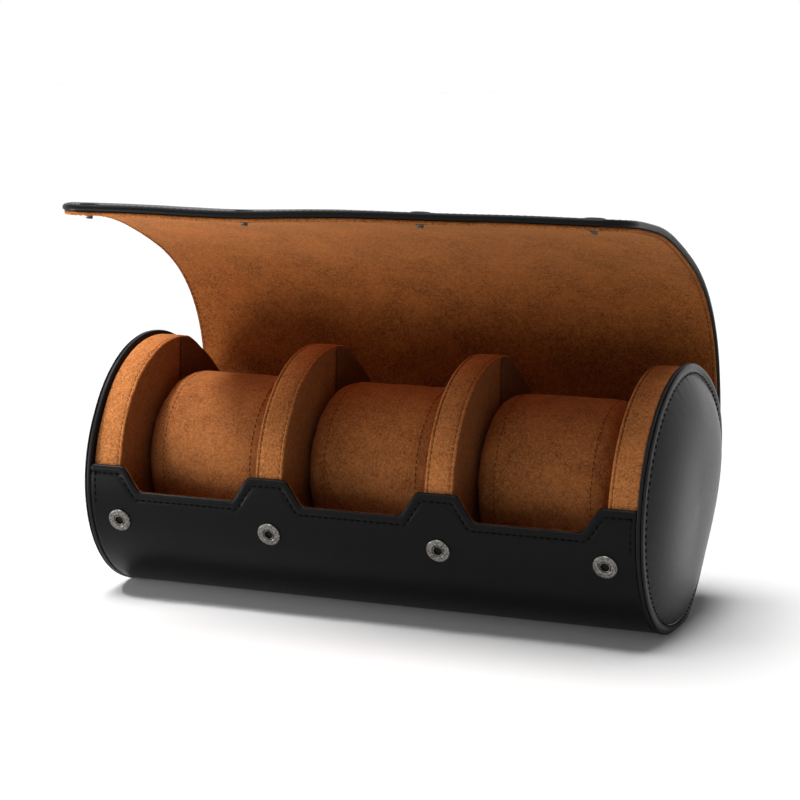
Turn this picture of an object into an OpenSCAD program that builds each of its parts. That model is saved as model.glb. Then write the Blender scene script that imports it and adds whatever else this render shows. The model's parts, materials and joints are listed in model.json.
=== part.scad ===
// Watch travel case: a leather-wrapped roll with three bays, padded end caps, a front wall with a
// notched edge, removable watch cushions and a flexible lid that wraps over to four press studs.
// X runs along the case, -Y is the front, +Z is up. The origin is on the floor under its middle.

/* [Case] */
// Outer radius of the leather that wraps the case
case_r = 50.2; // [46:0.2:56]
// Depth of the flat under the case that it stands on
foot_flat = 1.2; // [0.8:0.1:2]
// Length of each bay between its dividers
bay_w = 57; // [50:0.5:64]
// Thickness of each divider
divider_w = 11.5; // [9:0.5:14]
// Radial gap between a divider and the lining of the case
divider_gap = 0.2; // [0.1:0.05:0.4]

/* [Wall] */
// Thickness of the leather cover
leather_t = 0.8; // [0.6:0.1:1.2]
// Thickness of the stiffening board
board_t = 0.7; // [0.5:0.1:1]
// Thickness of the suede lining
suede_t = 0.5; // [0.4:0.1:0.8]
// Glue line between two layers
glue = 0.05; // [0.04:0.01:0.1]

/* [Front edge] */
// Height of the front wall's tabs over the middle of the case
tab_rise = 5.5; // [3:0.5:9]
// Depth of the notches between the tabs
notch_depth = 9.7; // [6:0.1:13]
// Width of each tab along its top edge
tab_w = 16; // [12:0.5:20]
// Run of the slope from a tab down to its notch
slope_run = 6.2; // [4:0.2:8]

/* [End caps] */
// How far an end cap's edge stands out past the wall, radially
cap_lip = 0.2; // [0.1:0.1:0.6]
// Thickness of an end cap's board
cap_board_t = 1.6; // [1:0.1:2.5]
// Width of the flat rim round an end cap's pad
rim_w = 4.2; // [3:0.2:6]
// Radius of the rolled bead on that rim
bead_r = 1; // [0.6:0.1:1.2]
// Height of an end cap's padded dome
dome_h = 4.6; // [2:0.2:7]
// Gap between the end caps and what lies between them
cap_gap = 0.1; // [0.05:0.05:0.3]

/* [Lid] */
// Directions of the lid's five panels where the lid stands open, from the hinge to the front
open_dirs = [97, 118, 148.3, 164.2, 169.8];
// Inner radii of the five panels
panel_r = [54, 60, 66, 66, 66];
// Angle that the closed lid's edge reaches below the middle of the front
lid_wrap = 27.7; // [22:0.5:32]
// Distance of the closed lid's inner face from the front wall
lid_standoff = 2.2; // [2:0.1:3]
// Distance of the lid's inner face from the end caps' edges at the hinge
hinge_clear = 0.5; // [0.4:0.1:0.8]
// How far the lid's ends stay inside the end caps' outer faces
lid_inset = 0.4; // [0.2:0.1:0.8]
// Thickness of the lid's board
lid_board_t = 1.8; // [1.2:0.1:2.2]
// Thickness of the lid's padded suede lining
lid_suede_t = 1.1; // [0.8:0.1:1.4]
// Width of the lid's cover that shows round its lining
lid_margin = 0.8; // [0.4:0.1:1.2]
// Radius of the lid's front corners
lid_corner_r = 12; // [6:1:16]
// Angle that is bevelled off each panel's ends so that the lid can unroll
bevel = 18; // [17:1:20]
// Height of the spine strip that the lid folds back on
spine_h = 8; // [6:0.5:12]
// Gap across a fold
fold_gap = 0.2; // [0.15:0.05:0.3]

/* [Cushions] */
// Radius of a watch cushion
cushion_r = 33; // [28:0.5:35]
// Height of the cushions' axis over the middle of the case
cushion_rise = 3; // [0:0.5:4]
// Gap between a cushion's end and its divider
cushion_gap = 0.3; // [0.2:0.1:0.8]
// Radius of a cushion's round shoulders
shoulder_r = 8; // [4:0.5:10]
// Radius of the hollow through a cushion's foam
foam_bore_r = 9; // [5:0.5:12]
// Thickness of a cushion's suede
cushion_suede_t = 1; // [0.6:0.1:1.5]

/* [Press studs] */
// Radius of a socket's flange
socket_r = 4.3; // [3.5:0.1:5]
// Height of a socket's flange
socket_h = 0.9; // [0.6:0.1:1.1]
// Radius of the hole in a socket
socket_bore_r = 2.1; // [1.8:0.1:2.3]
// Radius of a stud's head
stud_r = 1.35; // [1:0.05:1.5]
// Length of a stud's head
stud_len = 1.5; // [1.2:0.1:2]
// Radius of the cap on the lid's outside over each stud
stud_cap_r = 5; // [4:0.5:6]
// Distance of the studs from the lid's front edge
stud_inset = 7.5; // [6:0.5:10]
// Distance of the outer studs inboard of the last tab's middle
stud_shift = 4.6; // [3:0.2:6]

/* [Hidden] */
$fn = 96;

BLACK = [0.07, 0.07, 0.075];
BOARD = [0.55, 0.5, 0.42];
SUEDE = [0.62, 0.36, 0.19];
FOAM = [0.85, 0.82, 0.72];
METAL = [0.42, 0.4, 0.37];

// The case's layers, from the outside in
axis_z = case_r - foot_flat;
board_r = case_r - leather_t - glue;
lining_r = board_r - board_t - glue;
inner_r = lining_r - suede_t;
divider_r = inner_r - divider_gap;
cap_r = case_r + cap_lip;
pad_r = cap_r - rim_w;

// Places along the case
pitch = bay_w + divider_w;
divider_x = [-pitch * 1.5, -pitch / 2, pitch / 2, pitch * 1.5];
bay_x = [-pitch, 0, pitch];
core_half = pitch * 1.5 + divider_w / 2;
cap_x = core_half + cap_gap;
stud_x = [-pitch * 1.5 + stud_shift, -pitch / 2, pitch / 2, pitch * 1.5 - stud_shift];

// The front wall's edge
tab_z = axis_z + tab_rise;
notch_z = tab_z - notch_depth;

// The lid: five panels whose chords are equal, hinged to one another along their inner edges
panels = 5;
hinge = [cap_r + hinge_clear, axis_z];
closed_r = (hinge[0] + case_r + lid_standoff) / 2;
panel_turn = (180 + lid_wrap) / panels;
chord = 2 * closed_r * sin(panel_turn / 2);
closed_dirs = [for (i = [0:panels - 1]) 90 + panel_turn * (i + 0.5)];
lid_half = cap_x + cap_board_t + glue + leather_t - lid_inset;
lid_t = leather_t + lid_board_t + lid_suede_t + 2 * glue;
spine_half = core_half - 2 * cap_gap;
fold_z = axis_z - spine_h;

// A point of the chain of panels, where i counts the folds from the hinge
function chain(dirs, i) =
    i == 0 ? hinge : chain(dirs, i - 1) + chord * [cos(dirs[i - 1]), sin(dirs[i - 1])];
// Height of a panel's arc centre over its chord
function centre_v(r) = sqrt(r * r - chord * chord / 4);

// Each stud on the last panel, and the place of its socket when the lid is closed
front_r = panel_r[panels - 1];
stud_u = chord - stud_inset;
stud_turn = asin((stud_u - chord / 2) / front_r);
stud_v = centre_v(front_r) - front_r * cos(stud_turn);
front_dir = closed_dirs[panels - 1];
closed_stud = chain(closed_dirs, panels - 1)
    + stud_u * [cos(front_dir), sin(front_dir)]
    + stud_v * [-sin(front_dir), cos(front_dir)];
socket_dir = atan2(closed_stud[1] - axis_z, closed_stud[0]);
stud_foot_r = 3.2;
stud_foot_h = 0.3;
// A stud's flat foot rests with its rim on the lid's hollow inner face
stud_seat = glue + front_r - sqrt(pow(front_r, 2) - pow(stud_foot_r, 2));
stem_r = 1;
stud_cap_h = 0.9;
stud_cap_rim = 0.3;
fit = 0.1;
socket_shank_r = socket_bore_r + 0.45;
back_r = 4;
back_t = 0.4;
spring_wire_r = 0.2;
tiny = 0.01;

// Turns an outline in the YZ plane into a prism along X, centred
module along_x(length) {
    rotate([90, 0, 90]) linear_extrude(height = length, center = true) children();
}

// The round section of the case at one radius, with the flat that it stands on
module section(r) {
    intersection() {
        circle(r);
        translate([-r, foot_flat - r]) square(2 * r);
    }
}

// One layer of the case's wall: open above, higher at the back than at the notched front
module wall_layer(r_out, r_in) {
    reach = 2 * case_r;
    difference() {
        translate([0, 0, axis_z]) along_x(2 * core_half) difference() {
            section(r_out);
            section(r_in);
            translate([-reach, tab_rise]) square([reach, reach]);
            translate([0, fold_z - fold_gap - axis_z]) square([reach, reach]);
        }
        for (x = bay_x) translate([x, 0, 0]) notch();
    }
}

// The cut between two tabs of the front wall
module notch() {
    top = pitch / 2 - tab_w / 2;
    bottom = top - slope_run;
    rise = tab_z - notch_z;
    translate([0, 0, notch_z]) rotate([90, 0, 0]) linear_extrude(height = 2 * case_r) polygon([
        [-bottom, 0], [bottom, 0], [top, rise], [top, rise + case_r],
        [-top, rise + case_r], [-top, rise]
    ]);
}

// Places children at each socket, with Z pointing out of the wall
module at_sockets() {
    for (x = stud_x) translate([x, 0, axis_z]) rotate([socket_dir - 90, 0, 0]) children();
}

module case_cover() {
    color(BLACK) difference() {
        wall_layer(case_r, case_r - leather_t);
        at_sockets() cylinder(r = socket_shank_r + fit, h = 2 * case_r);
    }
}

module case_board() {
    color(BOARD) difference() {
        wall_layer(board_r, board_r - board_t);
        at_sockets() cylinder(r = back_r + fit, h = 2 * case_r);
    }
}

module case_lining() {
    color(SUEDE) wall_layer(lining_r, inner_r);
}

// A turned shape on the case's axis at one end, cut level with the floor. side is -1 or 1.
module cap_ring(side) {
    intersection() {
        translate([side * cap_x, 0, axis_z]) rotate([0, side * 90, 0]) rotate_extrude() children();
        translate([-3 * cap_x, -2 * case_r, 0]) cube([6 * cap_x, 4 * case_r, 4 * case_r]);
    }
}

// Half the outline of a dome, with its rim at radius a and its height h
module dome(a, h) {
    ball_r = (a * a + h * h) / (2 * h);
    intersection() {
        translate([0, h - ball_r]) circle(ball_r, $fn = 360);
        square([a, h]);
    }
}

module cap_cover(side) {
    color(BLACK) cap_ring(side) translate([0, cap_board_t + glue]) {
        difference() {
            dome(pad_r, dome_h);
            dome(pad_r - leather_t, dome_h - leather_t);
        }
        translate([pad_r - leather_t, 0]) square([rim_w + leather_t, leather_t]);
        intersection() {
            translate([cap_r - bead_r - leather_t, leather_t]) circle(bead_r);
            translate([pad_r, 0]) square([rim_w, leather_t + bead_r]);
        }
    }
}

module cap_pad(side) {
    color(FOAM) cap_ring(side) translate([0, cap_board_t + glue])
        dome(pad_r - leather_t - glue, dome_h - leather_t - glue);
}

module cap_board(side) {
    color(BOARD) cap_ring(side) square([cap_r - leather_t - glue, cap_board_t]);
}

module cap_edge(side) {
    color(BLACK) cap_ring(side) translate([cap_r - leather_t, 0]) square([leather_t, cap_board_t]);
}

// A disc of the dividers' section, r its radius
module divider_disc(x, length, r) {
    translate([x, 0, axis_z]) along_x(length) section(r);
}

module divider_band(i) {
    color(SUEDE) difference() {
        divider_disc(divider_x[i - 1], divider_w, divider_r);
        divider_disc(divider_x[i - 1], divider_w + 2 * tiny, divider_r - suede_t);
    }
}

module divider_faces(i) {
    color(SUEDE) for (side = [-1, 1])
        divider_disc(divider_x[i - 1] + side * (divider_w - suede_t) / 2, suede_t,
            divider_r - suede_t - glue);
}

module divider_core(i) {
    color(FOAM) divider_disc(divider_x[i - 1], divider_w - 2 * (suede_t + glue),
        divider_r - suede_t - glue);
}

module snap_sockets() {
    color(METAL) at_sockets() translate([0, 0, case_r]) rotate_extrude() {
        translate([socket_bore_r, 0]) square([socket_r - socket_bore_r, socket_h]);
        translate([socket_bore_r, -leather_t]) square([socket_shank_r - socket_bore_r, leather_t + tiny]);
    }
}

module socket_springs() {
    spring_r = socket_bore_r - spring_wire_r - 0.03;
    color(METAL) at_sockets() translate([0, 0, case_r + socket_h / 2]) rotate_extrude()
        translate([spring_r, 0]) circle(spring_wire_r, $fn = 24);
}

module socket_backs() {
    color(METAL) at_sockets() translate([0, 0, board_r - board_t + fit])
        cylinder(r = back_r, h = back_t);
}

// The spine: a strip of the wall between the fold at the back and the lid's first panel
module spine_layer(r_out, r_in) {
    translate([0, 0, axis_z]) along_x(2 * spine_half) difference() {
        circle(r_out);
        circle(r_in);
        translate([-2 * case_r, -2 * case_r]) square([2 * case_r, 4 * case_r]);
        translate([-1, -fold_gap]) rotate(-bevel) square([2 * case_r, 2 * case_r]);
        translate([-1, -2 * case_r]) square([2 * case_r, 2 * case_r - spine_h]);
    }
}

module spine_cover() {
    color(BLACK) spine_layer(case_r, case_r - leather_t);
}

module spine_lining() {
    color(SUEDE) spine_layer(board_r, inner_r);
}

// Places children on panel i of the open lid: Y runs along its chord and Z points inwards
module on_panel(i) {
    p = chain(open_dirs, i - 1);
    translate([0, p[0], p[1]]) rotate([open_dirs[i - 1], 0, 0]) children();
}

// One layer of panel i, from depth d to depth d + t under its inner face
module panel_layer(i, half, d, t) {
    r = panel_r[i - 1];
    lean = asin(chord / 2 / r) - bevel;
    far = 2 * lid_t;
    along_x(2 * half) intersection() {
        translate([chord / 2, centre_v(r)]) difference() {
            circle(r + d + t);
            circle(r + d);
        }
        polygon([
            [fold_gap / 2, 0], [chord - fold_gap / 2, 0],
            [chord - fold_gap / 2 + far * sin(lean), -far * cos(lean)],
            [fold_gap / 2 - far * sin(lean), -far * cos(lean)]
        ]);
    }
}

// What is cut off the front panel to round its two outer corners and set its edge back
module corner_cuts(margin) {
    for (side = [-1, 1]) translate([side * (lid_half - lid_corner_r), chord - lid_corner_r, -chord / 2])
        difference() {
            translate([side > 0 ? 0 : -2 * lid_corner_r, 0, 0])
                cube([2 * lid_corner_r, 2 * lid_corner_r, chord]);
            cylinder(r = lid_corner_r - fold_gap - margin, h = chord);
        }
    translate([-lid_half, chord - fold_gap - margin, -chord / 2]) cube([2 * lid_half, chord, chord]);
}

// Places children at each stud of the front panel: Z points inwards from the panel's inner face
module at_studs() {
    for (x = stud_x) on_panel(panels) translate([x, stud_u, stud_v]) rotate([stud_turn, 0, 0])
        children();
}

// A panel's piece, set back from the lid's free edges by its margin
module panel_piece(i, margin, d, t) {
    difference() {
        on_panel(i) panel_layer(i, lid_half - margin, d, t);
        if (i == panels) {
            on_panel(i) corner_cuts(margin);
            at_studs() cylinder(r = stem_r + fit, h = 4 * lid_t, center = true);
        }
    }
}

module lid_lining(i) {
    color(SUEDE) panel_piece(i, lid_margin, 0, lid_suede_t);
}

module lid_board(i) {
    color(BOARD) panel_piece(i, 0, lid_suede_t + glue, lid_board_t);
}

module lid_cover(i) {
    color(BLACK) panel_piece(i, 0, lid_t - leather_t, leather_t);
}

module snap_studs() {
    color(METAL) at_studs() {
        translate([0, 0, stud_seat]) cylinder(r = stud_foot_r, h = stud_foot_h);
        translate([0, 0, glue]) cylinder(r = stud_r, h = stud_len);
        translate([0, 0, glue - lid_t]) cylinder(r = stem_r, h = lid_t + tiny);
    }
}

module stud_caps() {
    color(BLACK) at_studs() translate([0, 0, -lid_t - glue]) rotate([180, 0, 0]) rotate_extrude() {
        square([stud_cap_r, stud_cap_rim]);
        translate([0, stud_cap_rim]) dome(stud_cap_r, stud_cap_h - stud_cap_rim);
    }
}

cushion_half = bay_w / 2 - cushion_gap;

// Half the lengthwise outline of a cushion, taken in by inset all round
module cushion_outline(inset) {
    r = cushion_r - inset;
    half = cushion_half - inset;
    round_r = shoulder_r - inset;
    translate([0, -half]) square([r - round_r, 2 * half]);
    translate([0, round_r - half]) square([r, 2 * (half - round_r)]);
    for (side = [-1, 1]) translate([r - round_r, side * (half - round_r)]) circle(round_r);
}

// A turned shape on cushion i's own axis
module cushion_turn(i) {
    translate([bay_x[i - 1], 0, axis_z + cushion_rise]) rotate([0, 90, 0]) rotate_extrude()
        intersection() {
            children();
            translate([0, -bay_w]) square([2 * cushion_r, 2 * bay_w]);
        }
}

module cushion_sleeve(i) {
    color(SUEDE) cushion_turn(i) difference() {
        cushion_outline(0);
        cushion_outline(cushion_suede_t);
        translate([0, -bay_w]) square([cushion_r - shoulder_r, 2 * bay_w]);
    }
}

module cushion_ends(i) {
    color(SUEDE) cushion_turn(i) for (side = [-1, 1])
        translate([0, side > 0 ? cushion_half - cushion_suede_t : -cushion_half])
            square([cushion_r - shoulder_r - glue, cushion_suede_t]);
}

module cushion_foam(i) {
    color(FOAM) cushion_turn(i) difference() {
        cushion_outline(cushion_suede_t + glue);
        translate([0, -bay_w]) square([foam_bore_r, 2 * bay_w]);
    }
}

case_cover();
case_board();
case_lining();
cap_cover(-1);  // left_cap_cover
cap_pad(-1);  // left_cap_pad
cap_board(-1);  // left_cap_board
cap_edge(-1);  // left_cap_edge
cap_cover(1);  // right_cap_cover
cap_pad(1);  // right_cap_pad
cap_board(1);  // right_cap_board
cap_edge(1);  // right_cap_edge
divider_band(1);  // divider_1_band
divider_faces(1);  // divider_1_faces
divider_core(1);  // divider_1_core
divider_band(2);  // divider_2_band
divider_faces(2);  // divider_2_faces
divider_core(2);  // divider_2_core
divider_band(3);  // divider_3_band
divider_faces(3);  // divider_3_faces
divider_core(3);  // divider_3_core
divider_band(4);  // divider_4_band
divider_faces(4);  // divider_4_faces
divider_core(4);  // divider_4_core
snap_sockets();
socket_springs();
socket_backs();
spine_cover();
spine_lining();
lid_cover(1);  // lid_cover_1
lid_board(1);  // lid_board_1
lid_lining(1);  // lid_lining_1
lid_cover(2);  // lid_cover_2
lid_board(2);  // lid_board_2
lid_lining(2);  // lid_lining_2
lid_cover(3);  // lid_cover_3
lid_board(3);  // lid_board_3
lid_lining(3);  // lid_lining_3
lid_cover(4);  // lid_cover_4
lid_board(4);  // lid_board_4
lid_lining(4);  // lid_lining_4
lid_cover(5);  // lid_cover_5
lid_board(5);  // lid_board_5
lid_lining(5);  // lid_lining_5
snap_studs();
stud_caps();
cushion_sleeve(1);  // cushion_1_sleeve
cushion_ends(1);  // cushion_1_ends
cushion_foam(1);  // cushion_1_foam
cushion_sleeve(2);  // cushion_2_sleeve
cushion_ends(2);  // cushion_2_ends
cushion_foam(2);  // cushion_2_foam
cushion_sleeve(3);  // cushion_3_sleeve
cushion_ends(3);  // cushion_3_ends
cushion_foam(3);  // cushion_3_foam
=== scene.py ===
import bmesh
import bpy
import json
import math
import numpy as np
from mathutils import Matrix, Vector


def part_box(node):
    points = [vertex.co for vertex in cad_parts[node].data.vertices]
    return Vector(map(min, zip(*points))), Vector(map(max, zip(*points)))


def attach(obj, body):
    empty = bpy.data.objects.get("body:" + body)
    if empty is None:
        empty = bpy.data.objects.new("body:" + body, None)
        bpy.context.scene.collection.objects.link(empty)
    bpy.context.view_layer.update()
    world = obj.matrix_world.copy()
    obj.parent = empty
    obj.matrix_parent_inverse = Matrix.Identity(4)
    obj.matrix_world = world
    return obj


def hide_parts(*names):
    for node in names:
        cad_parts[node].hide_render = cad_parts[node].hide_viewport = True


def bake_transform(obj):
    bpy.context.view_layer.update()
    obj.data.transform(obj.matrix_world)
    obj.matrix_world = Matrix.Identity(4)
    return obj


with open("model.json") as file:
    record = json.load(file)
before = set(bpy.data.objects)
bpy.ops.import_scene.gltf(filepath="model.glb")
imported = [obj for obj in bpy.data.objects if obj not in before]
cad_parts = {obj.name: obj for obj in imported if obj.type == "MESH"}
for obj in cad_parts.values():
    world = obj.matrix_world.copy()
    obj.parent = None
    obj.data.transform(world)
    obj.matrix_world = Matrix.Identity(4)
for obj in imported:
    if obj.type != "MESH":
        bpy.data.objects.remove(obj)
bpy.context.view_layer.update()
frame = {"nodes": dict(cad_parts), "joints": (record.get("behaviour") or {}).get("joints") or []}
MM = 0.001

# ---------------------------------------------------------------- sizes, in millimetres
# What the CAD nodes give
cover_low, cover_high = [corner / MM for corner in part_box("case_cover")]
CASE_R = -cover_low.y
HALF = cover_high.x
divider_low, divider_high = [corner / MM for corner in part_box("divider_2_band")]
DIVIDER_R = (divider_high.y - divider_low.y) / 2
DIVIDER_W = divider_high.x - divider_low.x
AXIS_Z = divider_high.z - DIVIDER_R
DIVIDER_X = [sum(corner.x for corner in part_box(f"divider_{i}_band")) / 2 / MM for i in (1, 2, 3, 4)]
PITCH = DIVIDER_X[1] - DIVIDER_X[0]
CUSHION_X = [(a + b) / 2 for a, b in zip(DIVIDER_X, DIVIDER_X[1:])]
cap_low, cap_high = [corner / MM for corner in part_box("right_cap_edge")]
CAP_X = cap_low.x
CAP_BOARD_T = cap_high.x - cap_low.x
CAP_R = cap_high.y
cushion_low, cushion_high = [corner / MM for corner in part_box("cushion_2_sleeve")]
CUSHION_R = (cushion_high.y - cushion_low.y) / 2
CUSHION_HALF = (cushion_high.x - cushion_low.x) / 2
CUSHION_Z = (cushion_high.z + cushion_low.z) / 2
# The soft lid is this much wider, at either side, than its panels
LID_MORE_HALF_W = 1.3
LID_HALF = (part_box("lid_cover_2")[1] / MM).x + LID_MORE_HALF_W
JOINTS = {joint["name"]: joint for joint in frame["joints"]}
HINGE = Vector(JOINTS["lid_wrap"]["pos_m"]) / MM
FOLD = Vector(JOINTS["lid_fold"]["pos_m"]) / MM

# The case's wall: the cover is leather over board, and the lining lies inside it
COVER_T = 1.55
LINING_T = 0.5
PLY_GAP = 0.05
FLOOR_SOFTNESS = 0.25
LINING_R = CASE_R - COVER_T - PLY_GAP

# The front wall's edge
TAB_Z = AXIS_Z + 5.5
NOTCH_Z = TAB_Z - 9.7
TAB_W = 16
SLOPE_RUN = 6.2
LINING_STEP = 0.3
EDGE_SOFTNESS = 0.9
EDGE_ROLL_H = 0.28
EDGE_ROLL_INSET = 1.6
EDGE_SEAM_DEPTH = 0.38

# The lid, from the hinge to its front edge: directions along its inner face, in degrees from +Y to +Z
LID_TURNS = [
    (0, 88), (20, 94), (40, 102.5), (60, 122), (80, 140), (100, 153.5),
    (125, 158.5), (144, 166.5), (149, 169.3), (160, 169.8), (170, 172), (184, 175),
]
LID_LENGTH = 184.4
LID_COVER_T = 2.65
LID_LINING_T = 1.15
LID_MARGIN = 0.8
LID_CORNER_R = 12
# Near the hinge it widens from this much inside the case's ends, and thickens: (where that starts, its run)
SPINE_END_GAP = 0.3
LID_WIDENS = (-1, 3.5)
LID_THICKENS = (-6, 8)
SPINE_LOW_Z = FOLD.z - 5
SPINE_MIDDLE_RISE = 4
# Places where a bend of the lid between bodies starts and ends, and how far outside its inner face they lie;
# no piece of the lid is bent by them
FOLD_BEND = (-2.2, 2.2)
HINGE_BEND = (-4, 14)
BEND_DEPTH = 1.5
PANEL_JOINTS = ("lid_wrap", "lid_flex_2", "lid_flex_3", "lid_flex_4", "lid_flex_5")

# How the soft lid stands off its even curve
LID_TWIST = -1.9
# From where along the lid it is loose, and over what length that grows
LID_LOOSE = (90, 90)
# The left front corner's droop: depth, its start and run along the lid, its start and run to the left
LID_CORNER_DROOP = (1.0, 166, 18, 30, 80)
# Dips: (place along the case, reach, depth), and where along the lid the second one starts, and its run
LID_DIP = (-38, 26, 0.6)
LID_FRONT_DIP = (-26, 38, 0.9)
LID_FRONT_DIP_RUN = (168, 14)
# An unevenness all over: height, and the lengths along and across the lid of a wave over two pi
LID_UNEVEN = (0.18, 17, 43)
# Ripples: (height, length of a wave over two pi, phase)
LID_RIPPLES = ((0.3, 31, 0.8), (0.18, 13.7, 2.1))
LID_FRONT_S = 146
LID_FRONT_RUN = 6
LID_FRONT_SWELL = 0.12
# How deep the stitches pull in each sheet of the lid
LINING_PRESS = 0.16
COVER_PRESS = 0.14
# And how deep their thread lies
LINING_THREAD_DEPTH = 0.1
COVER_THREAD_DEPTH = 0.19

# How the soft ends have settled: sideways shift at mid-height, lean over half the height,
# how far from the middle it starts, and over what length it grows
RIGHT_SETTLE = (1.5, 1.1, 60.0, 30.0)
LEFT_SETTLE = (-0.74, 2.2, 98.0, 8.0)
LEFT_SETTLE_LIMIT = 0.4
# How the right end has warped behind its middle: height, waves per turn, start in degrees, and its run
RIGHT_WARP = (1.5, 2.6, 8.0, 30)

# Stitching
STITCH_PITCH = 2.6
STITCH_LENGTH = 1.9
STITCH_R = 0.28
EDGE_STITCH_INSET = 3.4
END_STITCH_INSET = 2.0
END_STITCH_RUN = 11
BAND_STITCH_INSET = 1.5
BAND_THREAD_DEPTH = 0.16
LID_STITCH_INSET = 2.0
CAP_STITCH_R = 46.9

# The end caps' padded domes: height, how square their shoulders are, and how far they sag
DOME_H = 6.2
DOME_POWER = 4.0
DOME_LEAN = 1.2
DOME_SAG = 0.22
# The puckers along its seam: height, reach, and (waves per turn, phase)
PUCKER_H = 0.055
PUCKER_REACH = 2.2
PUCKER_WAVES = ((71, 0), (113, 1), (47, 2))
CAP_COVER_T = 1.0

# The dividers' outline stands off its round: degrees from +Y, millimetres
DIVIDER_OUTLINE = [
    (28, 0.0), (38, -0.5), (46, -1.2), (56, -1.4), (63, -1.3), (78, 0.95), (130, 0.8), (150, 0.4), (168, 0.0),
]
DIVIDER_FOOT = CASE_R - LINING_R + LINING_T + 0.1
# The welt down a divider's face: where it lies, its width and height, and the radii between which it runs
WELT_ANGLE = math.radians(87)
WELT_HALF_W = 0.7
WELT_H = 0.2
WELT_SPAN = (14.0, 47.8)
# The seams beside it: how far away, and how much nearer the middle they start and end
WELT_SEAM_STEP = 2.1
WELT_SEAM_SHORT = 1.2
# A face of a divider's pad belongs to its side, and takes the sides' painted shade, where its normal lies
# this much along the case
SIDEWAYS = 0.8

# The cushions
CUSHION_SEAM_X = 18.8
CUSHION_SHOULDER_R = 8.0
CUSHION_LOOSE = 0.3
# Its skin is cut this much small, round and at each end, and is drawn in along its seams: (step, rise)
CUSHION_CUT_SMALL = (0.9, 0.5)
CUSHION_SEAM = ((0.9, 0.25), (0.3, 0.05), (0, -0.35), (-0.3, 0.05), (-0.9, 0.25))
# How a cushion is stuffed
SKIN_VOXEL = 3.4
SKIN_JITTER = 0.12
SWELL_LIMIT = 1.6
SWELL_STEPS = 20
CLOTH = {
    "quality": 6, "mass": 0.25, "tension_stiffness": 12, "compression_stiffness": 12,
    "bending_stiffness": 0.8, "use_pressure": True, "uniform_pressure_force": 4.0,
}

# The snap fasteners: (distance out of the sheet, radius)
SOCKET_RING = [
    (-0.75, 0.0), (-0.75, 2.1), (0.2, 2.15), (0.5, 2.22), (0.78, 2.42), (0.92, 2.7), (0.9, 3.0), (0.78, 3.25),
    (0.76, 3.8), (0.8, 4.0), (0.74, 4.3), (0.5, 4.56), (0.2, 4.65), (-0.02, 4.64), (-0.3, 4.5), (-0.3, 2.6),
    (-0.8, 2.6), (-0.8, 0.0),
]
SOCKET_MOUTH_R = 2.12
STUD = [
    (-0.3, 0.0), (-0.3, 2.6), (0.02, 2.65), (0.2, 2.5), (0.28, 2.2), (0.3, 1.6), (0.45, 1.25), (0.75, 1.05),
    (0.95, 1.25), (1.2, 1.35), (1.42, 1.15), (1.52, 0.7), (1.55, 0.0),
]
STUD_CAP = [
    (-0.6, 0.0), (-0.6, 3.7), (-0.05, 3.8), (0.12, 3.65), (0.28, 3.1), (0.38, 2.3), (0.43, 1.2), (0.45, 0.0),
]
STUD_BACK = 0.4


# ---------------------------------------------------------------- helpers
def eased(t):
    """0 to 1 with a soft start and end."""
    t = np.clip(t, 0, 1)
    return t * t * (3 - 2 * t)


def bump_at(distance, centre, width):
    """A smooth hump of height 1 where distance is near centre."""
    return np.exp(-(((distance - centre) / width) ** 2))


def between(pairs, x):
    """The value at x of a line through (place, value) pairs."""
    return np.interp(x, [pair[0] for pair in pairs], [pair[1] for pair in pairs])


def new_object(name, data):
    """An object of the scene with that data."""
    made = bpy.data.objects.new(name, data)
    bpy.context.scene.collection.objects.link(made)
    return made


def evaluated(piece):
    """A piece as its modifiers leave it."""
    return piece.evaluated_get(bpy.context.evaluated_depsgraph_get())


# ---------------------------------------------------------------- shader groups
def shader_group(name, inputs, outputs):
    """An empty shader node group with its sockets: inputs are (kind, name, value), outputs (kind, name)."""
    group = bpy.data.node_groups.new(name, "ShaderNodeTree")
    for kind, label, value in inputs:
        socket = group.interface.new_socket(label, in_out="INPUT", socket_type="NodeSocket" + kind)
        if value is not None:
            socket.default_value = value
    for kind, label in outputs:
        group.interface.new_socket(label, in_out="OUTPUT", socket_type="NodeSocket" + kind)
    return group, group.nodes.new("NodeGroupInput"), group.nodes.new("NodeGroupOutput")


def node(tree, kind, **values):
    """A node of that kind. Values name its properties, or its inputs where they start with a capital."""
    made = tree.nodes.new(kind)
    for key, value in values.items():
        if key[0].isupper():
            made.inputs[key].default_value = value
        else:
            setattr(made, key, value)
    return made


def link(tree, source, target):
    tree.links.new(source, target)


def set_inputs(shader, values):
    """Sets a shader's plain inputs by their names."""
    for label, value in values.items():
        shader.inputs[label].default_value = value


def math_node(tree, operation, a, b=0.0, c=0.0, clamp=False):
    """operation on a, b and c, each a number or a socket; gives its output socket."""
    made = tree.nodes.new("ShaderNodeMath")
    made.operation = operation
    made.use_clamp = clamp
    for socket, value in zip(made.inputs, (a, b, c)):
        if isinstance(value, (int, float)):
            socket.default_value = value
        else:
            link(tree, value, socket)
    return made.outputs[0]


def ramp(tree, source, stops):
    """A colour ramp over source: stops are (place, grey)."""
    made = tree.nodes.new("ShaderNodeValToRGB")
    elements = made.color_ramp.elements
    while len(elements) < len(stops):
        elements.new(0.5)
    for element, (place, grey) in zip(elements, stops):
        element.position = place
        element.color = (grey, grey, grey, 1)
    link(tree, source, made.inputs["Fac"])
    return made.outputs["Color"]


def texture(tree, kind, **values):
    """A texture node of that kind, laid on the object's own coordinates."""
    made = node(tree, "ShaderNodeTex" + kind, **values)
    link(tree, node(tree, "ShaderNodeTexCoord").outputs["Object"], made.inputs["Vector"])
    return made


def per_metre(tree, millimetres):
    """A texture scale that makes a pattern that many millimetres long."""
    return math_node(tree, "DIVIDE", 1000.0, millimetres)


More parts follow.
